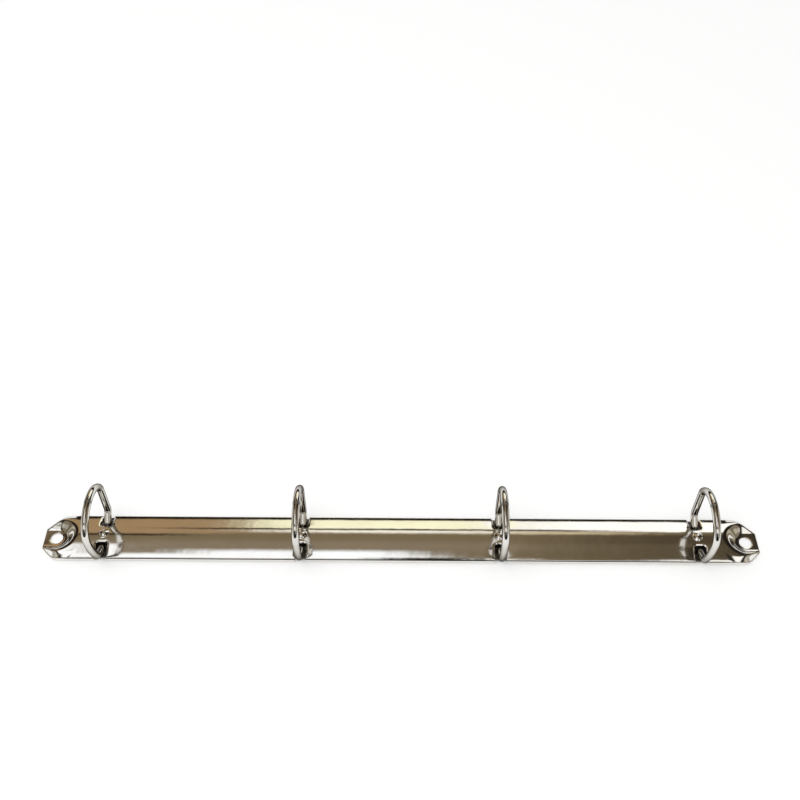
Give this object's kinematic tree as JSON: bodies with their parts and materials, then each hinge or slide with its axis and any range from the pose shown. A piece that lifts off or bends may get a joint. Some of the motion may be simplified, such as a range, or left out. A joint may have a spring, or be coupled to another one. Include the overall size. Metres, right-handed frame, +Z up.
{
  "type": "ring binder mechanism",
  "caption": "Pressed steel ring binder mechanism with D-shaped rings that pull apart at the top and dished mounting ends.",
  "frame": {"origin": "on the base plane, midway between the two mounting holes", "axes": "+X along the cover, +Y towards the straight posts, +Z up and away from the surface it is fixed to"},
  "size_m": [0.29, 0.0282, 0.0311],
  "materials": {
    "cover": "bright nickel plate on pressed steel",
    "hinge_plates": "duller plate on flat steel strip",
    "rings": "bright nickel plate on round wire"
  },
  "bodies": {
    "cover": {"cover": "cover"},
    "front_half": {"front_hinge_plate": "hinge_plates", "front_ring_1": "rings", "front_ring_2": "rings", "front_ring_3": "rings", "front_ring_4": "rings"},
    "rear_half": {"rear_hinge_plate": "hinge_plates", "rear_ring_1": "rings", "rear_ring_2": "rings", "rear_ring_3": "rings", "rear_ring_4": "rings"}
  },
  "joints": [
    {"name": "front_hinge", "type": "hinge", "parent": "cover", "child": "front_half", "pos_m": [0, -0.00925, 0.00125], "axis": [1, 0, 0], "range_deg": [0, 14]},
    {"name": "rear_hinge", "type": "hinge", "parent": "cover", "child": "rear_half", "pos_m": [0, 0.00925, 0.00125], "axis": [-1, 0, 0], "range_deg": [0, 14]}
  ],
  "couplings": [
    {"joint": "rear_hinge", "follows": "front_hinge", "ratio": 1}
  ]
}
